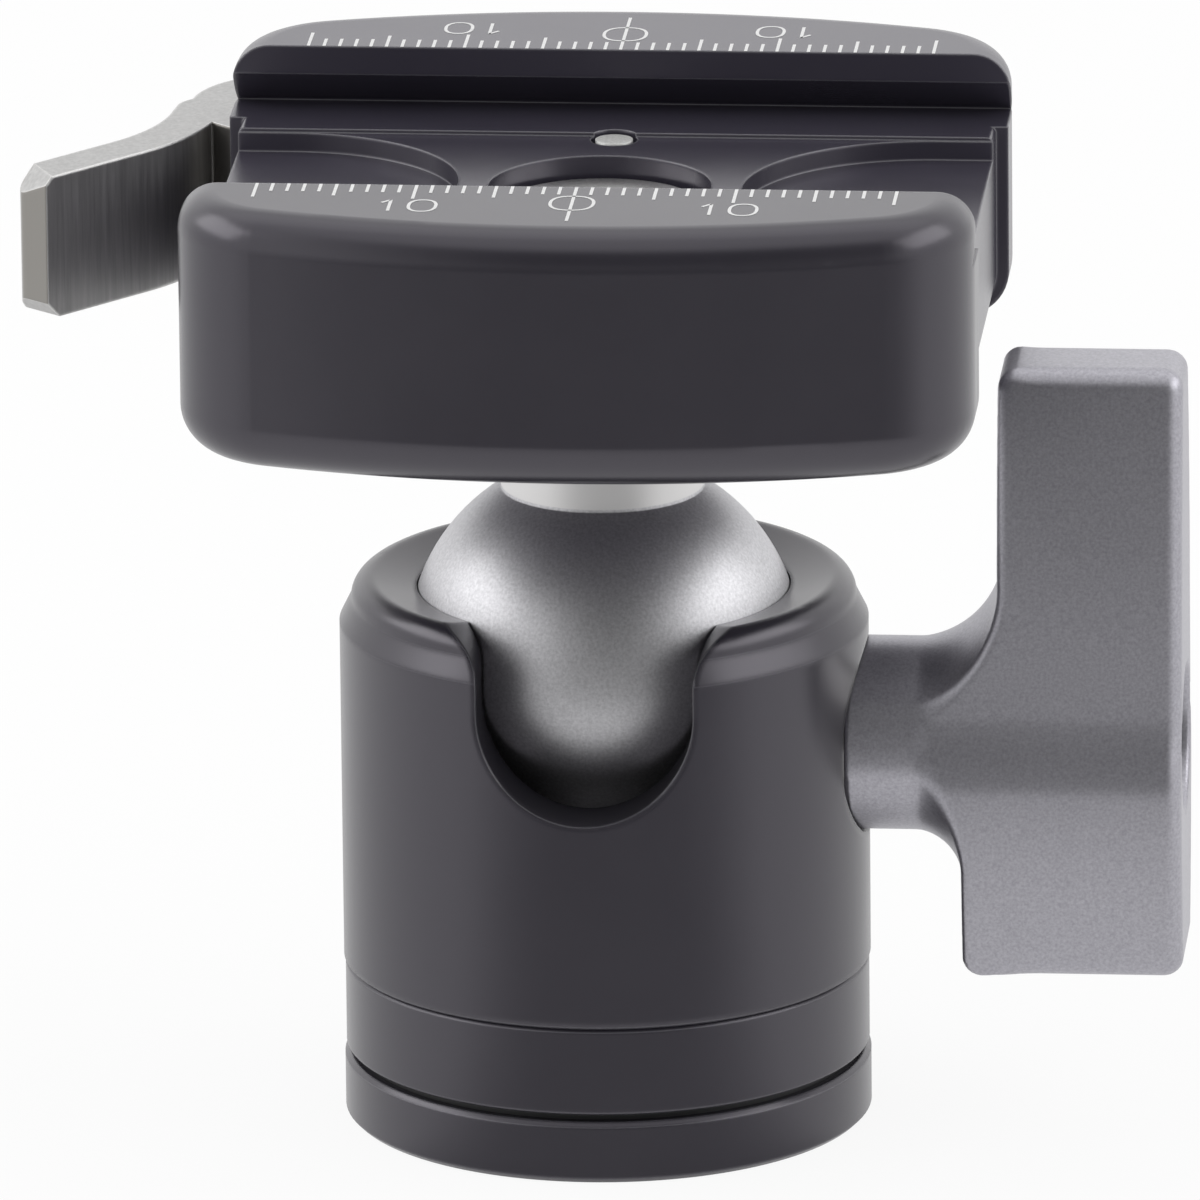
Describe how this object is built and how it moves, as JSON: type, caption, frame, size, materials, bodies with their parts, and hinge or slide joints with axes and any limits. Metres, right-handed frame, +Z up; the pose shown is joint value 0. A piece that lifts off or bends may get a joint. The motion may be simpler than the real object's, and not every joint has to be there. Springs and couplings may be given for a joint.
{
  "type": "tripod ball head",
  "caption": "Compact tripod ball head: panning housing with a drop notch, ball locked by a paddle knob, and a dovetail plate clamp closed by a curved lever.",
  "frame": {"origin": "centre of the foot's underside, at the mouth of the tripod screw socket, on the pan axis", "axes": "+Z up along the pan axis, +X along the locking knob, -Y the front with the drop notch and the moving jaw"},
  "size_m": [0.0743, 0.0567, 0.0652],
  "materials": {
    "anodised": "satin charcoal anodised aluminium",
    "steel": "bright machined stainless steel",
    "machined": "fine turned",
    "knob_metal": "bead-blasted titanium grey anodised",
    "ball_metal": "bead-blasted satin, machined neck",
    "lever_steel": "brushed with bright chamfers",
    "brass": "plain turned",
    "polymer": "black low-friction polymer",
    "liner": "slippery polymer"
  },
  "bodies": {
    "base": {"base_plate": "anodised", "thread_insert": "steel", "pan_washer": "polymer", "pan_spring": "steel", "retaining_ring": "steel"},
    "housing": {"housing": "anodised", "lower_collar": "anodised", "ball_seat": "machined", "seat_spring": "steel"},
    "liner": {"ball_liner": "liner"},
    "ball": {"ball": "ball_metal"},
    "clamp": {"clamp_body": "anodised", "clamp_screw": "machined", "floor_pin": "steel", "lever_pin": "steel", "jaw_springs": "steel"},
    "jaw": {"moving_jaw": "anodised", "guide_rods": "steel", "draw_rod": "steel"},
    "lever": {"lever": "lever_steel", "cam_bush": "brass"},
    "shoe": {"brake_shoe": "brass"},
    "knob": {"clamp_shaft": "steel", "knob": "knob_metal", "knob_screw": "steel"}
  },
  "joints": [
    {"name": "pan", "type": "hinge", "parent": "base", "child": "housing", "pos_m": [0, 0, 0.004], "axis": [0, 0, 1], "continuous": true},
    {"name": "ball_roll", "type": "hinge", "parent": "housing", "child": "liner", "pos_m": [0, 0, 0.0304], "axis": [0, 1, 0], "range_deg": [-28, 0]},
    {"name": "ball_pitch", "type": "hinge", "parent": "liner", "child": "ball", "pos_m": [0, 0, 0.0304], "axis": [1, 0, 0], "range_deg": [-28, 90]},
    {"name": "ball_spin", "type": "hinge", "parent": "ball", "child": "clamp", "pos_m": [0, 0, 0.0485], "axis": [0, 0, 1], "range_deg": [-8, 8]},
    {"name": "knob_travel", "type": "slide", "parent": "housing", "child": "shoe", "axis": [1, 0, 0], "range_m": [0, 0.00095]},
    {"name": "knob_turn", "type": "hinge", "parent": "shoe", "child": "knob", "pos_m": [0.02, 0, 0.025], "axis": [1, 0, 0], "range_deg": [0, 270]},
    {"name": "jaw_slide", "type": "slide", "parent": "clamp", "child": "jaw", "axis": [0, -1, 0], "range_m": [0, 0.00161]},
    {"name": "lever_swing", "type": "hinge", "parent": "clamp", "child": "lever", "pos_m": [-0.0205, 0.0215, 0.05535], "axis": [0, 0, -1], "range_deg": [0, 110]}
  ],
  "couplings": [
    {"joint": "knob_travel", "follows": "knob_turn", "m_per_rad": 0.00019894},
    {"joint": "lever_swing", "follows": "jaw_slide", "rad_per_m": 1192.4}
  ]
}
